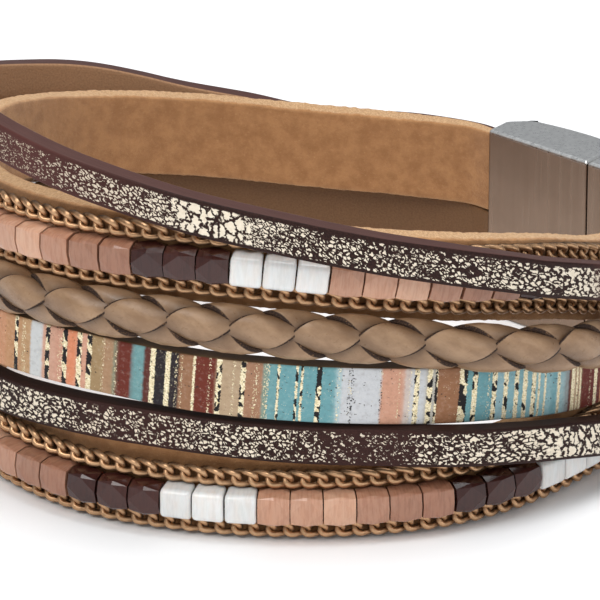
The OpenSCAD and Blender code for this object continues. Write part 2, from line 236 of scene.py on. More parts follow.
def section(width, thick, r, wide=12, thin=4, corner=4):
    """Rounded rectangle as depths and heights, with so many steps along its sides and round its corners."""
    side = width / 2 - r
    arcs = []
    for depth, high, start in ((r, -side, 180), (thick - r, -side, 270), (thick - r, side, 0), (r, side, 90)):
        turn = np.radians(start + 90 * np.arange(corner + 1) / corner)
        arcs.append(np.column_stack([depth + r * np.cos(turn), high + r * np.sin(turn)]))
    points = []
    for arc, following, steps in zip(arcs, arcs[1:] + arcs[:1], (thin, wide, thin, wide)):
        points += [*arc, *(arc[-1] + (following[0] - arc[-1]) * k / steps for k in range(1, steps))]
    return np.array(points)


def ripple(places, scales, shift):
    """Smooth noise at the places. The scales count its waves in a millimetre."""
    return np.array([noise.noise(Vector(p)) for p in places * scales + shift])


LOWEST = 0.02            # no point of a strap is lower than this above the floor
FUZZY = 0.5              # how far the fuzz reaches in from a suede strap's edges


def strap(name, tab, width, thick, material, rings=560, r=0.24, crown=0.0, fuzz=0.0, nap=0.0, seed=0):
    """A strap on its route. Its face has a crown, and suede has fuzzy edges and an uneven nap."""
    s = stations(rings)
    at = s / ROUND
    ring = section(width, thick, r)
    along, depth = np.meshgrid(s, ring[:, 0], indexing="ij")
    across = np.broadcast_to(ring[:, 1], depth.shape)
    lay = np.stack([along, across, depth], -1).reshape(-1, 3)
    out = depth + crown * np.maximum(0, 1 - (2 * across / width) ** 2) * (depth > thick / 2)
    high = across
    if fuzz or nap:
        free = fit_in(at, 0)[:, None] ** 2
        fine = ripple(lay, (2.1, 2.1, 2.1), (seed, 0, 0)).reshape(depth.shape)
        coarse = ripple(lay, (0.35, 0.4, 0.4), (seed, 0, 9)).reshape(depth.shape)
        edge = np.clip((np.abs(across) - (width / 2 - FUZZY)) / FUZZY, 0, 1)
        high = across + np.sign(across) * edge * fuzz * (fine + 0.7 * coarse) * free
        out = out + nap * (fine + 0.6 * coarse) * free
    out = read(tab, OUT, at)[:, None] * SUEDE_T + out * fit_in(at, SKIVE)[:, None]
    z = middle_z(tab, s)[:, None] + high
    piece(name, put(along, out, np.maximum(z, LOWEST)).reshape(-1, 3), tube_faces(len(s), len(ring)),
          material, [("lay", "FLOAT_VECTOR", lay)])


# Material making. A strap's layer "lay" holds millimetres along, across and through it
class Nodes:
    def __init__(self, name):
        self.mat = bpy.data.materials.new(name)
        self.mat.use_nodes = True
        self.tree = self.mat.node_tree
        self.shader = self.tree.nodes["Principled BSDF"]

    def add(self, kind, *values, props=None, **inputs):
        """A node. values go to its first sockets in order, inputs to the sockets of those names."""
        node = self.tree.nodes.new("ShaderNode" + kind)
        for key, value in (props or {}).items():
            setattr(node, key, value)
        for key, value in [*enumerate(values), *inputs.items()]:
            self.feed(node, key, value)
        return node

    def feed(self, node, key, value):
        socket = node.inputs[key if isinstance(key, int) else key.replace("_", " ")]
        if isinstance(value, bpy.types.NodeSocket):
            self.tree.links.new(value, socket)
        else:
            socket.default_value = value

    def set(self, **inputs):
        for key, value in inputs.items():
            self.feed(self.shader, key, value)

    def layer(self, name, out):
        return self.add("Attribute", props={"attribute_name": name}).outputs[out]

    def lay(self):
        return self.layer("lay", "Vector")

    def split(self, vector):
        return self.add("SeparateXYZ", vector).outputs

    def channels(self, colour):
        return self.add("SeparateColor", Color=colour).outputs[:3]

    def math(self, op, *values, clamp=False):
        return self.add("Math", *values, props={"operation": op, "use_clamp": clamp}).outputs[0]

    def total(self, first, *others):
        for other in others:
            first = self.math("ADD", first, other)
        return first

    def times(self, first, *others):
        for other in others:
            first = self.math("MULTIPLY", first, other)
        return first

    def less(self, a, b, clamp=False):
        return self.math("SUBTRACT", a, b, clamp=clamp)

    def swing(self, wave, width):
        """A wave from 0 to 1 made to swing about nought."""
        return self.times(self.less(wave, 0.5), width)

    def scale(self, vector, factors):
        return self.add("VectorMath", vector, factors, props={"operation": "MULTIPLY"}).outputs[0]

    def plus(self, a, b):
        return self.add("VectorMath", a, b, props={"operation": "ADD"}).outputs[0]

    def noise(self, vector, scale, detail=3.0, rough=0.55, colour=False):
        node = self.add("TexNoise", Vector=vector, Scale=scale, Detail=detail, Roughness=rough)
        return node.outputs["Color" if colour else "Fac"]

    def voronoi(self, vector, scale, feature="F1", out="Distance"):
        return self.add("TexVoronoi", props={"feature": feature}, Vector=vector, Scale=scale).outputs[out]

    def step(self, value, low, high, to_low=0.0, to_high=1.0):
        """A smooth step from to_low at low to to_high at high."""
        props = {"interpolation_type": "SMOOTHSTEP"}
        return self.add("MapRange", value, low, high, to_low, to_high, props=props).outputs[0]

    def mix(self, fac, a, b, mode="MIX"):
        node = self.add("Mix", fac, props={"data_type": "RGBA", "blend_type": mode})
        self.feed(node, 6, a)
        self.feed(node, 7, b)
        return node.outputs[2]

    def ramp(self, fac, stops, constant=False):
        node = self.add("ValToRGB", Fac=fac)
        ramp = node.color_ramp
        ramp.interpolation = "CONSTANT" if constant else "LINEAR"
        while len(ramp.elements) > 1:
            ramp.elements.remove(ramp.elements[-1])
        ramp.elements[0].position = stops[0][0]
        ramp.elements[0].color = stops[0][1]
        for at, colour in stops[1:]:
            ramp.elements.new(at).color = colour
        return node.outputs["Color"]

    def bump(self, height, distance, strength=1.0, normal=None):
        node = self.add("Bump", Height=height, Distance=distance * MM, Strength=strength)
        if normal is not None:
            self.feed(node, "Normal", normal)
        return node.outputs[0]


def rgb(r, g, b):
    """A colour from its usual 0 to 255 values."""
    parts = [v / 255 for v in (r, g, b)]
    return (*(v / 12.92 if v < 0.04045 else ((v + 0.055) / 1.055) ** 2.4 for v in parts), 1.0)


def shade(colour, factor):
    return (*(min(1, v * factor) for v in colour[:3]), 1.0)


def suede():
    n = Nodes("suede")
    lay = n.lay()
    across, depth = n.split(lay)[1:3]
    patch = n.noise(lay, 0.55, 4, 0.6)
    grain = n.noise(lay, 3.2, 4, 0.65)
    body = n.mix(n.step(patch, 0.32, 0.70), rgb(158, 108, 65), rgb(182, 131, 84))
    body = n.mix(n.step(grain, 0.54, 0.76, 0, 0.42), body, rgb(134, 90, 54))
    body = n.mix(n.step(grain, 0.46, 0.26, 0, 0.38), body, rgb(202, 158, 112))
    # Lighter colour along a strap's edges, strongest mid-thickness: partly the suede's own paler fibres,
    # partly a painted highlight on the rounded edge.
    off_middle = n.math("ABSOLUTE", n.less(depth, SUEDE_T / 2))
    rim_fibres_and_highlight = n.times(n.step(n.math("ABSOLUTE", across), SUEDE_W / 2 - 0.42, SUEDE_W / 2 - 0.12),
                  n.step(off_middle, 0.46 * SUEDE_T, 0.30 * SUEDE_T, 0.25, 1))
    fibre = n.noise(n.scale(lay, (1, 1, 0.5)), 6, 3, 0.7)
    rim_fibre_highlight_colour = n.mix(n.step(fibre, 0.35, 0.7), rgb(176, 132, 88), rgb(212, 172, 126))
    n.set(Base_Color=n.mix(rim_fibres_and_highlight, body, rim_fibre_highlight_colour), Roughness=0.95, Specular_IOR_Level=0.2,
          Sheen_Weight=0.35, Sheen_Roughness=0.6, Sheen_Tint=(1.0, 0.86, 0.7, 1.0),
          Normal=n.bump(n.noise(lay, 9, 4, 0.7), 0.12, 0.8, n.bump(patch, 0.15, 0.5)))
    return n.mat


def leather_sides(n, face, face_in, edge_colour, back_colour):
    """The face's colour where the strap looks outwards, edge paint at its sides, bare leather inside."""
    lay = n.lay()
    depth = n.split(lay)[2]
    grain = n.noise(lay, 5, 4, 0.6)
    back = n.mix(n.step(grain, 0.35, 0.7), back_colour, shade(back_colour, 0.78))
    long_grain = n.noise(n.scale(lay, (0.25, 3, 6)), 2.2, 3, 0.6)
    side = n.mix(n.step(long_grain, 0.3, 0.75), edge_colour, shade(edge_colour, 1.3))
    outer = n.step(depth, STRAP_T - face_in, STRAP_T - 0.10)
    colour = n.mix(n.step(depth, 0.22, 0.08), side, back)
    return n.mix(outer, colour, face), outer, grain


# Crackle foil, zone by zone: middle in millimetres along the strap, shares of small slanted, medium and block
# flakes (the rest is specks), width of the cracks, share of missing flakes, redness of the ground
ZONES_FROM, ZONES_LONG = 82, 54
ZONES_UPPER = [
    (82, 0.3, 0.3, 0, 0.14, 0.20, 0.4), (83, 0.3, 0, 0, 0.19, 0.40, 0.8), (88.5, 0.3, 0, 0, 0.19, 0.38, 1),
    (92.5, 0.8, 0, 0, 0.17, 0.22, 0.6), (97, 1, 0, 0, 0.16, 0.14, 0.3), (99.8, 0.5, 0.5, 0, 0.14, 0.10, 0.1),
    (102.3, 0, 0.2, 0.8, 0.10, 0.05, 0), (105.3, 0, 0.2, 0.8, 0.11, 0.06, 0),
    (107, 0.5, 0.1, 0, 0.15, 0.12, 0), (109.5, 0.6, 0, 0, 0.17, 0.16, 0),
    (112, 1, 0, 0, 0.19, 0.20, 0), (117, 1, 0, 0, 0.19, 0.20, 0),
    (119.2, 0.5, 0, 0, 0.18, 0.16, 0), (121.5, 1, 0, 0, 0.18, 0.16, 0), (125.5, 0.9, 0.1, 0, 0.17, 0.14, 0),
    (128, 0.1, 0.9, 0, 0.16, 0.08, 0), (131, 0, 0.6, 0.4, 0.15, 0.04, 0), (134.4, 0, 0.5, 0.5, 0.12, 0.02, 0),
    (136, 0.3, 0.3, 0, 0.14, 0.20, 0.4)]
ZONES_LOWER = [
    (82, 0.2, 0.5, 0.3, 0.13, 0.10, 0), (83, 0.3, 0.7, 0, 0.15, 0.10, 0), (89.5, 0.4, 0.6, 0, 0.16, 0.14, 0),
    (92.5, 1, 0, 0, 0.19, 0.22, 0.2), (99.5, 1, 0, 0, 0.19, 0.20, 0.2), (102.5, 0.6, 0.4, 0, 0.17, 0.15, 0),
    (105.3, 0.7, 0.3, 0, 0.17, 0.14, 0), (108, 0.9, 0.1, 0, 0.17, 0.18, 0), (111, 0.9, 0, 0, 0.18, 0.24, 0.1),
    (114, 0.6, 0, 0, 0.21, 0.42, 0.2), (119, 0.6, 0, 0, 0.21, 0.40, 0.2), (121.5, 0.8, 0.2, 0, 0.17, 0.20, 0),
    (124.5, 0.5, 0.5, 0, 0.16, 0.14, 0), (127.5, 0.1, 0.9, 0, 0.13, 0.08, 0),
    (130.3, 0, 0.5, 0.5, 0.12, 0.08, 0), (134.6, 0, 0.1, 0.9, 0.12, 0.08, 0),
    (136, 0.2, 0.5, 0.3, 0.13, 0.10, 0)]
# Length, height and slant of the specks and of the three kinds of flakes
FLAKES = [(0.20, 0.20, 0), (0.28, 0.44, 0.6), (0.66, 0.44, 0), (0.66, 1.35, 0.1)]


def crackle(name, zones, bare_top, bare_bottom, edge_colour, lining, seed):
    n = Nodes(name)
    lay = n.lay()
    s, across = n.split(lay)[:2]
    at = n.math("FRACT", n.math("DIVIDE", n.less(s, ZONES_FROM), ZONES_LONG))
    places = [(zone[0] - ZONES_FROM) / ZONES_LONG for zone in zones]
    shares = n.channels(n.ramp(at, [(p, zone[1:4] + (1,)) for p, zone in zip(places, zones)]))
    crack, missing, red = n.channels(n.ramp(at, [(p, zone[4:7] + (1,)) for p, zone in zip(places, zones)]))
    shifted = n.plus(lay, (seed, 0, 0))
    warp = n.plus(n.noise(shifted, 1.7, 3, 0.6, colour=True), (-0.5, -0.5, -0.5))
    base = n.plus(shifted, n.scale(warp, (0.9, 0.7, 0)))

    gaps, chances = [], []
    specks = n.less(1.0, n.total(*shares), clamp=True)
    for share, (long, high, slant) in zip((specks, *shares), FLAKES):
        grid = n.add("Mapping", props={"vector_type": "TEXTURE"}, Vector=base, Rotation=(0, 0, slant),
                     Scale=(long, high, 4)).outputs[0]
        gaps.append(n.times(n.voronoi(grid, 1, "DISTANCE_TO_EDGE"), share))
        chances.append(n.times(n.channels(n.voronoi(grid, 1, "F1", "Color"))[0], share))
    ragged = n.total(*gaps, n.swing(n.noise(shifted, 5.5, 3, 0.75), 0.20))
    flake = n.step(n.less(ragged, crack), -0.02, 0.03)
    keep = n.step(n.less(n.total(*chances), missing), -0.02, 0.02)

    uneven = n.total(across, n.swing(n.noise(shifted, 1.4, 3, 0.7), 0.5))
    top, bottom, soft = CRACKLE_W / 2 - bare_top, bare_bottom - CRACKLE_W / 2, 0.1
    inside = n.times(n.step(uneven, top, top - soft), n.step(uneven, bottom, bottom + soft))
    foil = n.times(flake, keep, inside)
    ground = n.mix(n.step(n.noise(lay, 6, 3, 0.6), 0.4, 0.7), rgb(34, 18, 15), rgb(52, 29, 24))
    ground = n.mix(red, ground, rgb(78, 44, 40))
    shine = n.mix(n.noise(shifted, 3, 2), rgb(204, 190, 168), rgb(240, 230, 212))
    shine = n.mix(n.times(red, 0.8), shine, rgb(168, 148, 128))
    colour, outer, grain = leather_sides(n, n.mix(foil, ground, shine), 0.16, edge_colour, lining)
    shown = n.times(foil, outer)
    n.set(Base_Color=colour, Metallic=n.times(shown, 0.3), Specular_IOR_Level=0.15,
          Roughness=n.less(0.56, n.times(shown, 0.2)),
          Normal=n.bump(n.total(n.times(foil, 0.5), grain), 0.05, 0.5))
    return n.mat


# Cross stripes of the ground: start in millimetres along the strap and colour
STRIPES_FROM, STRIPES_LONG = 82.3, 57.2
GROUND = [
    (82.3, 186, 134, 100), (83.2, 178, 132, 94), (85.0, 176, 140, 102), (86.2, 190, 192, 192),
    (87.5, 192, 148, 126), (89.0, 192, 142, 120), (90.1, 206, 130, 94), (91.0, 196, 146, 122),
    (92.2, 152, 126, 90), (93.4, 160, 126, 96), (94.2, 124, 126, 104), (94.55, 98, 35, 22),
    (95.9, 104, 146, 148), (96.9, 84, 38, 30), (97.75, 28, 22, 28), (98.9, 32, 24, 30),
    (100.1, 142, 102, 74), (101.45, 102, 38, 23), (103.3, 172, 148, 120), (105.5, 156, 116, 90),
    (107.2, 120, 140, 128), (107.7, 104, 150, 154), (108.7, 100, 150, 156), (113.4, 160, 184, 188),
    (113.9, 190, 192, 195), (117.3, 194, 145, 121), (119.2, 194, 180, 172), (119.8, 192, 194, 196),
    (121.0, 174, 170, 160), (122.0, 144, 100, 70), (124.3, 104, 152, 156), (125.3, 102, 151, 158),
    (127.0, 138, 172, 180), (128.0, 126, 168, 176), (131.0, 138, 178, 184), (133.0, 112, 160, 168),
    (133.6, 150, 180, 184), (134.6, 138, 146, 146), (135.1, 90, 32, 23), (135.5, 180, 150, 120),
    (136.8, 100, 33, 22)]
# Foil lines: middle and width in millimetres, share of black chunks, 1 where the line is only specks
LINES = [
    (84.4, 0.45, 0.6, 0), (85.3, 0.5, 0, 1), (88.1, 0.5, 0.6, 0), (89.3, 0.35, 0, 1), (89.8, 0.4, 0.8, 0),
    (91.1, 0.45, 0.4, 0), (92.1, 0.5, 0.45, 0), (93.2, 0.3, 0, 1), (94.3, 0.25, 0, 1), (95.8, 0.2, 0, 1),
    (97.7, 0.5, 0, 0), (98.9, 0.45, 0, 0), (99.8, 0.3, 0, 1), (100.2, 0.25, 0, 1), (101.3, 0.5, 0, 0),
    (102.6, 0.4, 0, 1), (103.4, 0.5, 0.3, 0), (104.6, 0.25, 0, 1), (105.4, 0.4, 0.5, 0), (106.5, 0.6, 0, 1),
    (107.4, 0.5, 0, 1), (108.4, 0.3, 0.3, 0), (108.8, 0.2, 0, 0), (110.05, 0.35, 0.5, 0),
    (110.5, 0.35, 0.5, 0), (111.8, 0.5, 0.7, 0), (113.6, 0.25, 0, 1), (114.5, 0.5, 1, 1),
    (117.2, 0.3, 1, 1), (118.7, 0.3, 0, 1), (119.7, 0.3, 0, 1), (120.2, 0.35, 0.2, 0),
    (121.3, 0.35, 0.5, 0), (121.9, 0.35, 0.5, 0), (124.1, 0.6, 0.6, 0), (125.05, 0.35, 0.3, 0),
    (126.3, 0.3, 0, 1), (126.9, 0.4, 0.2, 0), (128.0, 0.4, 0.15, 0), (129.1, 0.3, 0.1, 0),
    (130.0, 0.4, 0.1, 0), (130.9, 0.3, 0.3, 0), (131.5, 0.3, 0, 0), (132.2, 0.3, 0, 0), (133.8, 0.5, 0, 0),
    (135.6, 0.35, 0, 0), (136.1, 0.25, 0, 0), (136.5, 0.25, 0, 0), (137.9, 0.3, 0, 1), (138.7, 0.3, 0, 0)]
LINE_HALF = 0.44         # a line's edges lie this share of its width from its middle
STRIPE_BLUR = 0.07       # half of the soft step between two stripes
STRIPE_LEAN = 0.06       # how far the stripes lean along the strap for each millimetre across
RAMP_STOPS = 30          # a ramp node can hold 32
BLACK = (0, 0, 0, 1)


def chart(n, place, stops, constant=False):
    """Colours over the stripe pattern's length, shared among as many ramps as they need."""
    out = None
    stops = [((mm - STRIPES_FROM) / STRIPES_LONG, colour) for mm, colour in stops]
    for k in range(0, len(stops), RAMP_STOPS):
        part = n.ramp(place, stops[k:k + RAMP_STOPS + (0 if constant else 1)], constant)
        out = part if out is None else n.mix(n.math("GREATER_THAN", place, stops[k][0]), out, part)
    return out


def stripes():
    n = Nodes("stripe_leather")
    lay = n.lay()
    s, across = n.split(lay)[:2]

    def place(wave, width):
        along = n.less(n.total(s, n.swing(wave, width)), n.times(across, STRIPE_LEAN))
        return n.math("FRACT", n.math("DIVIDE", n.less(along, STRIPES_FROM), STRIPES_LONG))

    grounds = [(GROUND[0][0], rgb(*GROUND[0][1:]))]
    for before, after in zip(GROUND, GROUND[1:]):
        grounds.append((after[0] - STRIPE_BLUR, rgb(*before[1:])))
        grounds.append((after[0] + STRIPE_BLUR, rgb(*after[1:])))
    ground = chart(n, place(n.noise(n.scale(lay, (0.8, 1.2, 0.2)), 2.0, 3, 0.6), 0.30), grounds)
    cloud = n.noise(lay, 2.4, 4, 0.65)
    ground = n.mix(n.step(cloud, 0.5, 0.8, 0, 0.14), ground, rgb(238, 230, 218))
    ground = n.mix(n.step(cloud, 0.52, 0.25, 0, 0.24), ground, rgb(82, 58, 42))

    edges = [(STRIPES_FROM, BLACK)]
    for middle, width, black, specks in LINES:
        edges.append((middle - LINE_HALF * width, (1, black, specks, 1)))
        edges.append((middle + LINE_HALF * width, BLACK))
    ragged = place(n.noise(n.scale(lay, (1.0, 1.6, 0.2)), 4.4, 3, 0.75), 0.44)
    line, black, specks = n.channels(chart(n, ragged, edges, True))

    dots = n.voronoi(n.plus(lay, n.scale(n.noise(lay, 3, 2, 0.6, colour=True), (0.5, 0.5, 0.5))), 2.6)
    dots = n.times(n.step(dots, 0.24, 0.18), n.step(n.noise(lay, 0.9, 2, 0.6), 0.54, 0.64))
    chunk_wave = n.noise(n.scale(lay, (0.9, 0.55, 0.2)), 1.9, 2, 0.5)
    chunks = n.step(n.total(chunk_wave, n.times(black, 0.19)), 0.60, 0.63)
    speck_wave = n.noise(n.scale(lay, (1.0, 0.8, 0.3)), 6.0, 2, 0.7)
    shown = n.times(line, n.step(n.less(speck_wave, n.times(specks, 0.56)), -0.02, 0.03))
    dark = n.math("MAXIMUM", n.times(chunks, n.math("GREATER_THAN", black, 0.01)),
                  n.times(n.step(n.noise(lay, 4.2, 2, 0.6), 0.62, 0.66), 0.9))
    glitter = n.noise(lay, 5.5, 2, 0.8)
    gold = n.mix(n.step(glitter, 0.32, 0.7), rgb(200, 182, 136), rgb(250, 240, 212))
    sparks = n.times(n.step(n.noise(n.scale(lay, (1.0, 0.7, 0.3)), 7.0, 2, 0.8), 0.66, 0.69),
                     n.step(n.noise(lay, 0.8, 2, 0.5), 0.40, 0.60))

    face = n.mix(dots, ground, rgb(46, 36, 34))
    face = n.mix(n.times(sparks, 0.85), face, gold)
    face = n.mix(shown, face, n.mix(dark, gold, rgb(22, 17, 18)))
    colour, outer, grain = leather_sides(n, face, 0.14, rgb(88, 68, 46), rgb(122, 90, 62))
    metal = n.times(shown, n.less(1.0, dark), outer, 0.3)
    n.set(Base_Color=colour, Metallic=metal, Specular_IOR_Level=0.25,
          Roughness=n.less(0.58, n.times(metal, 0.6)),
          Normal=n.bump(n.total(n.times(shown, 0.5), glitter), 0.07, 0.6))
    return n.mat


def braid_leather():
    """Here the layer runs from -1 to 1 across a strand, and "over" is 1 where it lies on top."""
    n = Nodes("braid_leather")
    lay = n.lay()
    across = n.split(lay)[1]
    over = n.layer("over", "Fac")
    cloud = n.noise(lay, 0.8, 4, 0.6)
    crease = n.noise(n.scale(lay, (0.8, 2.4, 1)), 3.0, 5, 0.7)
    skin = n.mix(n.step(cloud, 0.3, 0.72), rgb(132, 103, 77), rgb(160, 130, 101))
    skin = n.mix(n.step(crease, 0.58, 0.78, 0, 0.30), skin, rgb(108, 79, 54))
    # Painted shade: darker towards each pad's ends, where the strand dips under its neighbours.
    skin = n.mix(n.step(over, 1.0, 0.30, 0, 0.62), skin, rgb(78, 53, 33))
    fleck = n.noise(n.scale(lay, (2.2, 1, 1)), 5, 3, 0.7)
    # Dark edges along each strand: partly the raw cut edge's own flecked colour, partly painted shade for the
    # gaps between pads.
    raw_edge_and_gap_shade = n.mix(n.step(fleck, 0.54, 0.66), rgb(38, 21, 12), rgb(112, 82, 55))
    edge = n.step(n.total(n.math("ABSOLUTE", across), n.swing(fleck, 0.10)), 0.87, 0.92)
    # Painted shade, near-black, where a strand runs under the others.
    painted_under_shade = n.step(over, 0.42, 0.14, 0, 0.95)
    n.set(Base_Color=n.mix(painted_under_shade, n.mix(edge, skin, raw_edge_and_gap_shade), rgb(38, 22, 13)),
          Roughness=n.total(n.step(crease, 0.2, 0.8, 0.24, 0.42), n.times(edge, 0.5)),
          Specular_IOR_Level=0.4,
          Normal=n.bump(crease, 0.10, 0.5, n.bump(n.noise(lay, 9, 3, 0.6), 0.02, 0.5)))
    return n.mat


def bead_glass():
    """Here the layer runs along, through and up a bead, and each bead has its own part of the streaks."""
    n = Nodes("beads")
    tone = n.layer("tone", "Color")
    lay = n.lay()
    cloud = n.noise(n.scale(lay, (1.6, 0.7, 0.5)), 0.9, 3, 0.5)
    body = n.mix(n.step(cloud, 0.35, 0.7, 0, 0.35), tone, n.mix(0.6, tone, rgb(255, 226, 204), "MULTIPLY"))
    streak = n.noise(n.scale(lay, (3.2, 0.35, 0.5)), 1.3, 3, 0.6)
    body = n.mix(n.step(streak, 0.40, 0.68, 0, 0.26), body, tone, "MULTIPLY")
    n.set(Base_Color=body, Roughness=0.22, Specular_IOR_Level=0.4, Coat_Weight=0.12, Coat_Roughness=0.08,
          Subsurface_Weight=0.1, Subsurface_Radius=(0.0012, 0.0006, 0.0004), Subsurface_Scale=0.6,
          Normal=n.bump(n.noise(lay, 1.6, 2, 0.5), 0.03, 0.4))
    return n.mat


def thread_wax():
    n = Nodes("thread")
    fibre = n.noise(n.scale(n.lay(), (0.6, 5, 5)), 4, 3, 0.7)
    n.set(Base_Color=n.mix(fibre, rgb(50, 34, 24), rgb(92, 66, 46)), Roughness=0.7,
          Normal=n.bump(fibre, 0.03, 0.6))
    return n.mat


def antique_brass():
    """Bright on a link's outer side and dark on its side towards the strap: painted highlight and shade,
    broken up by tarnish noise as the metal's own wear.
    """
    n = Nodes("chain_metal")
    lay = n.lay()
    tarnish = n.noise(lay, 2.0, 4, 0.65)
    # Painted light and shade: brighter away from the strap, darker towards it, mixed with uneven tarnish.
    wear_and_painted_light = n.math("ADD", n.step(n.split(lay)[2], 0.1, 1.2), n.swing(tarnish, 1.3), clamp=True)
    n.set(Base_Color=n.mix(wear_and_painted_light, rgb(54, 38, 26), rgb(198, 158, 120)), Metallic=0.85,
          Roughness=n.step(tarnish, 0.3, 0.8, 0.30, 0.5), Normal=n.bump(n.noise(lay, 7, 3, 0.6), 0.02, 0.5))
    return n.mat


def steel():
    """Brushed upright. The brown-grey sides and the pale top are painted reflections, of the straps and of
    the light above. The places are in metres here.
    """
    n = Nodes("clasp_steel")
    place = n.add("TexCoord").outputs["Object"]
    brush = n.noise(n.scale(place, (2600, 2600, 60)), 1, 3, 0.6)
    cloud = n.noise(n.scale(place, (200, 200, 200)), 1, 3, 0.5)
    # Painted reflection: brown-grey of the straps on the sides, and near-white of the light above on the top
    # face.
    side = n.mix(cloud, rgb(128, 108, 93), rgb(150, 130, 114))
    top = n.step(n.split(place)[2], (CLASP_H - 0.5) * MM, (CLASP_H - 0.2) * MM)
    n.set(Base_Color=n.mix(top, side, rgb(228, 229, 228)), Metallic=1.0,
          Roughness=n.step(brush, 0.3, 0.7, 0.26, 0.38), Normal=n.bump(brush, 0.002, 0.4))
    return n.mat


# Camera
LENS, SENSOR, FARTHEST = 420.7, 36, 10
look, tilt, reach = Vector((-2.004, -0.912, 11.309)) * MM, math.radians(25), 0.68
camera = bpy.data.cameras.new("camera")
camera.lens = LENS
camera.sensor_width = SENSOR
camera.clip_end = FARTHEST
eye = bpy.data.objects.new("camera", camera)
bpy.context.scene.collection.objects.link(eye)
eye.location = look + Vector((0, -math.cos(tilt), math.sin(tilt))) * reach
eye.rotation_euler = (math.radians(90) - tilt, 0, 0)
bpy.context.scene.camera = eye

# Straps
suede_mat = suede()
for name, tab, seed in (("suede_strap_upper", SUEDE_UPPER, 3), ("suede_strap_lower", SUEDE_LOWER, 57)):
    strap(name, tab, SUEDE_W, SUEDE_T, suede_mat, rings=900, r=0.22, fuzz=0.09, nap=0.03, seed=seed)
foil_mat = crackle("crackle_leather", ZONES_UPPER, 0.42, 0.36, rgb(76, 52, 48), rgb(168, 130, 98), 0)
strap("crackle_strap_upper", CRACKLE_UPPER, CRACKLE_W, STRAP_T, foil_mat, crown=0.06)
# The lower crackle strap's near-black edge colour is painted shade, for the shadow under the stripe strap
# above it; it is painted on all its edges.
foil_mat = crackle("crackle_leather_lower", ZONES_LOWER, 0.24, 0.32, rgb(44, 28, 24), rgb(118, 86, 60), 311)
strap("crackle_strap_lower", CRACKLE_LOWER, CRACKLE_W, STRAP_T, foil_mat, crown=0.06)
strap("stripe_strap", STRIPE, STRIPE_W, STRAP_T, stripes(), crown=0.05)

# Braid: four flat strands, over at the front and back for one hand, at the top and bottom for the other
BRAID_THICK, BRAID_AMP, BRAID_WIDE = 0.155 * BRAID_H, 0.095 * BRAID_H, 0.43 * BRAID_H
BRAID_START, BRAID_TIP = 0.33, math.radians(20)
BRAID_MID = BRAID_H / 2 - BRAID_THICK / 2 - BRAID_AMP
BRAID_CORE = 0.44 * BRAID_H   # radius at which a strand bends round the others
BRAID_LEAN = math.atan(math.pi * 2 * BRAID_CORE / BRAID_TURN)
BRAID_SLOW = 0.45             # how much slower a strand turns where it lies over
BRAID_SKIVE = 0.42            # share of the braid's thickness that is left in the clasp
BRAID_STIFF = 0.3             # share of a strand's own thickness that doesn't shrink with the braid's
BRAID_FULL = 1.1              # a strand's full thickness, where BRAID_THICK is 1
BRAID_DISH = 0.04             # a strand's edges lie this much lower than its middle
BRAID_TAIL = 0.85 * TAIL


def braid_strand(name, hand, start, material, rings=900, sides=22):
    s = np.linspace(-BRAID_TAIL, ROUND + BRAID_TAIL, rings)[:, None]
    turn = hand * TAU * (s - BRAID_START) / BRAID_TURN + math.radians(start)
    lift = BRAID_MID + hand * BRAID_AMP * np.cos(2 * turn)
    side = np.linspace(0, TAU, sides, endpoint=False)[None, :]
    across = np.sign(np.cos(side)) * np.abs(np.cos(side)) ** 0.6
    through = np.sign(np.sin(side)) * np.abs(np.sin(side)) ** 0.45 * 0.5
    aside = across * BRAID_WIDE
    along = s - hand * aside * math.sin(BRAID_LEAN)
    angle = BRAID_TIP + turn - hand * BRAID_SLOW / 2 * np.sin(2 * turn)
    angle = angle + aside * math.cos(BRAID_LEAN) / BRAID_CORE
    at = along / ROUND
    left = fit_in(at, BRAID_SKIVE)
    thick = BRAID_FULL * BRAID_THICK * (BRAID_STIFF + (1 - BRAID_STIFF) * left)
    r = lift + through * thick - BRAID_DISH * across ** 2
    out = read(BRAID, OUT, at) * SUEDE_T + left * (BRAID_T / 2 + r * np.cos(angle) * BRAID_T / BRAID_H)
    z = read(BRAID, HIGH, at) * FAN_H + r * np.sin(angle) * (0.9 + 0.1 * left)
    lay = np.stack(np.broadcast_arrays(s + 40 * start, across, through), -1)
    # The material paints shade on a strand where this is low, where it runs under.
    over = np.repeat(0.5 + 0.5 * hand * np.cos(2 * turn), sides, 1)
    piece(name, put(along, out, z).reshape(-1, 3), tube_faces(rings, sides), material,
          [("lay", "FLOAT_VECTOR", lay), ("over", "FLOAT", over)])


braid_mat = braid_leather()
for number, (hand, start) in enumerate(((1, 0), (1, 180), (-1, 0), (-1, 180)), 1):
    braid_strand("braid_strand_%d" % number, hand, start, braid_mat)

# Beads
BEADS_OUT = SUEDE_T + 2 * GAP
BEAD_WAY = lengths(ROUTE + outward(WAY) * BEADS_OUT)
BEAD_PITCH = BEAD_L + BEAD_GAP
PEACH = [rgb(186, 142, 117), rgb(190, 147, 122), rgb(202, 160, 134), rgb(170, 127, 104), rgb(158, 115, 93),
         rgb(153, 110, 89)]
BROWN = [rgb(58, 29, 25), rgb(64, 33, 28), rgb(62, 31, 26)]
WHITE = [rgb(216, 217, 216), rgb(222, 223, 222), rgb(219, 220, 219)]
REPEAT = PEACH + BROWN + WHITE


def bead_points(rings, spread=0.045):
    """The points of a bead's rings, with the bead a little longer on its outer side than on its inner."""
    points = np.array([(x, y, z) for x, ring in rings for y, z in ring])
    points[:, 0] *= 1 + spread * (points[:, 1] / (BEAD_T / 2) + 0.6)
    return points


def bore(r, sides, shift=0):
    angles = [TAU * (i + shift) / sides for i in range(sides)]
    return [(r * math.cos(a), r * math.sin(a)) for a in angles]


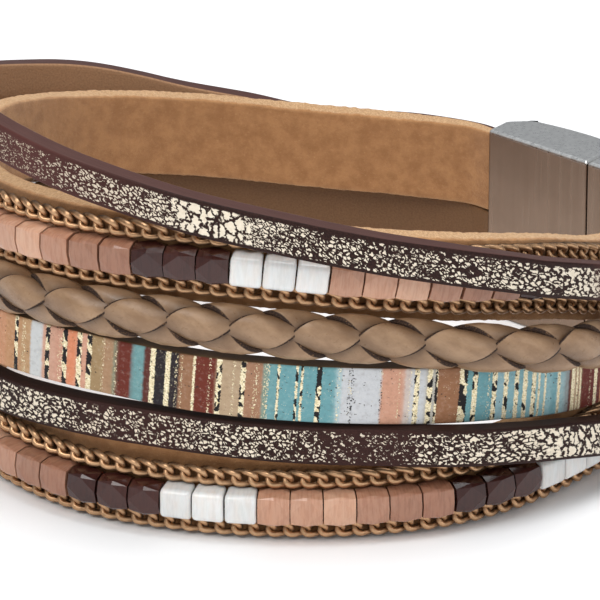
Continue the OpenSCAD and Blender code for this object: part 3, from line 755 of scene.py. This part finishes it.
def round_bead(sides=32, end=0.34, corner=0.62):
    """A white bead: rounded-square rings along x with rounded ends, and the thread's bore inside."""
    hx, hy, hz = BEAD_L / 2, BEAD_T / 2, BEAD / 2

    def loop(inset):
        r = corner - inset
        points = []
        for cy, cz, start in ((1, 1, 0), (-1, 1, 90), (-1, -1, 180), (1, -1, 270)):
            for i in range(sides // 4):
                a = math.radians(start + 90 * i / (sides // 4 - 1))
                points.append((cy * (hy - corner) + r * math.cos(a), cz * (hz - corner) + r * math.sin(a)))
        return points

    rings = [(-hx, bore(0.18 * BEAD, sides, 0.5))]
    for a in np.radians((0, 22, 45, 68, 90)):
        rings.append((-hx + end * (1 - math.cos(a)), loop(end * (1 - math.sin(a)))))
    rings += [(-x, ring) for x, ring in rings[::-1]]
    return bead_points(rings), wall(len(rings), sides, closed=True), True


def cut_bead(corner, edge):
    """A faceted bead: a diamond on each of the four sides, cut corners and cut long edges, and the bore."""
    hx, hy, hz = BEAD_L / 2, BEAD_T / 2, BEAD / 2
    y, z, q, r = hy - corner, hz - corner, hy - edge, hz - edge
    end = [(hy, 0), (y, z), (0, hz), (-y, z), (-hy, 0), (-y, -z), (0, -hz), (y, -z)]
    waist = [(hy, r), (q, hz), (-q, hz), (-hy, r), (-hy, -r), (-q, -hz), (q, -hz), (hy, -r)]
    hole = bore(0.19 * BEAD, 8)
    rings = [(-hx, hole), (-hx, end), (0, waist), (hx, end), (hx, hole)]
    near_bore, near, middle, far, far_bore = range(0, 40, 8)
    faces = []
    for e, b in ((near, near_bore), (far, far_bore)):
        side = [(e + i, b + i, b + (i + 1) % 8, e + (i + 1) % 8) for i in range(8)]
        for i in range(0, 8, 2):
            a, c = middle + i, middle + i + 1
            side += [(e + i, e + i + 1, a), (e + i + 1, c, a), (e + i + 1, e + (i + 2) % 8, c)]
        faces += side if e == near else [f[::-1] for f in side]
    faces += [(near + i, middle + i, far + i, middle + (i - 1) % 8) for i in range(0, 8, 2)]
    for i in range(8):
        k = (i + 1) % 8
        faces.append((near_bore + i, far_bore + i, far_bore + k, near_bore + k))
    return bead_points(rings), faces, False


def beads(name, tab, up, start, first_peach, material):
    """A row of beads from start, a share of the way round, each a little lighter or darker by chance."""
    kinds = [cut_bead(0.22, 0.22)] * len(PEACH) + [cut_bead(0.32, 0.30)] * len(BROWN)
    kinds += [round_bead()] * len(WHITE)
    first, last = np.interp([start * ROUND, BEADS_TO * ROUND], WAY, BEAD_WAY)
    count = int((last - first) // BEAD_PITCH)
    verts, faces, tones, lay, smooth = [], [], [], [], []
    used = 0
    draw = random.Random(count)
    for i in range(count):
        s = np.array([np.interp(first + (i + 0.5) * BEAD_PITCH, BEAD_WAY, WAY)])
        climb = math.atan(rise(tab, s)[0])
        ahead = np.append(heading(s)[0] * math.cos(climb), math.sin(climb))
        at = put(s, BEADS_OUT + BEAD_T / 2, middle_z(tab, s) + up)[0]
        kind = (i - first_peach) % len(REPEAT)
        shape, shape_faces, is_smooth = kinds[kind]
        verts.append(at + shape @ axes(ahead))
        faces += [tuple(v + used for v in face) for face in shape_faces]
        used += len(shape)
        smooth += [is_smooth] * len(shape_faces)
        tones += [shade(REPEAT[kind], 0.92 + 0.14 * draw.random())] * len(shape)
        lay.append(shape + [s[0] * 1.7, 0, 0])
    piece(name, np.concatenate(verts), faces, material,
          [("tone", "FLOAT_COLOR", tones), ("lay", "FLOAT_VECTOR", np.concatenate(lay))], smooth)


bead_mat = bead_glass()
beads("beads_upper", SUEDE_UPPER, SET_OFF, BEADS_FROM + 0.003, 18, bead_mat)
beads("beads_lower", SUEDE_LOWER, -SET_OFF, BEADS_FROM, 16, bead_mat)


# Threads: three plies twisted
def thread(name, tab, up, material, rings=420, sides=12, radius=0.11 * BEAD, ply_turn=1.4):
    s = np.linspace(BEADS_FROM, BEADS_TO, rings)[:, None] * ROUND
    side = np.linspace(0, TAU, sides, endpoint=False)[None, :]
    ply = side - s * ply_turn
    r = radius * (0.88 + 0.12 * np.cos(3 * ply))
    along = np.repeat(s, sides, 1)
    points = put(along, BEADS_OUT + BEAD_T / 2 + r * np.cos(side), middle_z(tab, s) + up + r * np.sin(side))
    piece(name, points.reshape(-1, 3), tube_faces(rings, sides), material,
          [("lay", "FLOAT_VECTOR", np.stack([along, r * np.cos(ply), r * np.sin(ply)], -1))])


thread_mat = thread_wax()
thread("thread_upper", SUEDE_UPPER, SET_OFF, thread_mat)
thread("thread_lower", SUEDE_LOWER, -SET_OFF, thread_mat)

# Chains: interlocking curb links, each a loop twisted so that one end lies over and the other under
LINK_LONG, LINK_WIDE, LINK_TWIST, LINK_WIRE, LINK_PITCH = 1.10, 0.68, 0.28, 0.30, 1.62
CHAIN_FREE = 2.5              # the middles of a chain's end links leave at least this much of its route


def link_shape(turns=26, sides=8):
    """One link, long along x and wide along z."""
    t = np.linspace(0, TAU, turns, endpoint=False)
    middle = np.stack([LINK_LONG * np.cos(t), LINK_TWIST * np.sin(2 * t),
                       LINK_WIDE * np.sin(t) * (1 + 0.12 * np.cos(2 * t))], 1)
    ahead = unit(np.roll(middle, -1, 0) - np.roll(middle, 1, 0))
    side = unit(np.cross(ahead, (0, 1, 0)))
    top = np.cross(side, ahead)
    u = np.linspace(0, TAU, sides, endpoint=False)[None, :, None]
    points = middle[:, None] + LINK_WIRE * (side[:, None] * np.cos(u) + top[:, None] * np.sin(u))
    return points.reshape(-1, 3), wall(turns, sides, closed=True)


def chain(name, tab, up, aside, material):
    """A row of links, aside millimetres from the middle of the beads, measured square to the strap."""
    shape, shape_faces = link_shape()
    fine = np.linspace(BEADS_FROM, BEADS_TO, 3000) * ROUND
    height = middle_z(tab, fine) + up + aside * np.sqrt(1 + rise(tab, fine) ** 2)
    line = put(fine, SUEDE_T + GAP + CHAIN_T / 2, height)
    way = lengths(line)
    count = int((way[-1] - CHAIN_FREE) // LINK_PITCH) + 1
    spare = (way[-1] - (count - 1) * LINK_PITCH) / 2

    def on_line(w):
        return np.array([np.interp(w, way, line[:, c]) for c in range(3)])

    verts, faces, lay = [], [], []
    for i in range(count):
        w = spare + i * LINK_PITCH
        ahead = on_line(w + 0.5) - on_line(w - 0.5)
        verts.append(on_line(w) + shape @ axes(ahead / np.linalg.norm(ahead)))
        faces += [tuple(v + i * len(shape) for v in face) for face in shape_faces]
        # The third value grows outwards from the strap; the metal's painted shade and highlight follow it.
        lay.append(np.stack([shape[:, 0] + w, shape[:, 2], shape[:, 1] + 0.6], 1))
    piece(name, np.concatenate(verts), faces, material,
          [("lay", "FLOAT_VECTOR", np.concatenate(lay))])


chain_mat = antique_brass()
for level, tab, up in (("upper", SUEDE_UPPER, SET_OFF), ("lower", SUEDE_LOWER, -SET_OFF)):
    chain("chain_%s_top" % level, tab, up, CHAIN_AT, chain_mat)
    chain("chain_%s_bottom" % level, tab, up, -CHAIN_AT, chain_mat)


# Clasp
def dress_clasp(obj, material, rounding=0.36, joined=0.002):
    """Steel and rounded edges for one half of the clasp. The CAD mesh itself stays as it is."""
    obj.data.materials.clear()
    obj.data.materials.append(material)
    weld = obj.modifiers.new("joined faces", "WELD")
    weld.merge_threshold = joined * MM
    bevel = obj.modifiers.new("soft edges", "BEVEL")
    bevel.width = rounding * MM
    bevel.segments = 3
    bevel.limit_method = "ANGLE"
    bevel.angle_limit = math.radians(40)
    bevel.use_clamp_overlap = False
    shading = obj.modifiers.new("flat faces", "WEIGHTED_NORMAL")
    shading.weight = 100


steel_mat = steel()
for name in ("clasp_left", "clasp_right"):
    dress_clasp(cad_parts[name], steel_mat)

# Floor and light, in metres
floor_mesh = bpy.data.meshes.new("floor")
floor_mesh.from_pydata([(-2, -2, 0), (2, -2, 0), (2, 2, 0), (-2, 2, 0)], [], [(0, 1, 2, 3)])
floor = bpy.data.objects.new("floor", floor_mesh)
bpy.context.scene.collection.objects.link(floor)
pale = Nodes("floor")
pale.set(Base_Color=(0.96, 0.97, 0.985, 1), Roughness=0.7, Specular_IOR_Level=0.1)
floor_mesh.materials.append(pale.mat)

bpy.context.scene.view_settings.view_transform = "Standard"
world = bpy.data.worlds.new("world")
bpy.context.scene.world = world
world.use_nodes = True
sky = world.node_tree.nodes["Background"].inputs
sky["Color"].default_value = (0.95, 0.97, 1, 1)
sky["Strength"].default_value = 0.36


def softbox(name, place, aim, size, watts, colour=(1, 1, 1)):
    light = bpy.data.lights.new(name, "AREA")
    light.shape = "RECTANGLE"
    light.size, light.size_y = size
    light.energy = watts
    light.color = colour
    obj = bpy.data.objects.new(name, light)
    obj.location = place
    obj.rotation_euler = (Vector(aim) - Vector(place)).to_track_quat("-Z", "Y").to_euler()
    bpy.context.scene.collection.objects.link(obj)


softbox("key", (-0.25, -0.34, 0.48), (0, 0, 0.01), (0.30, 0.30), 2.0, (1, 0.985, 0.96))
softbox("front", (0.05, -0.60, 0.16), (0, 0, 0.015), (0.5, 0.2), 0.35, (1, 0.99, 0.97))
softbox("top", (0.05, 0.0, 0.62), (0, 0, 0.01), (0.5, 0.35), 2.6)
softbox("right", (0.5, -0.3, 0.25), (0, 0, 0.01), (0.25, 0.25), 0.5)
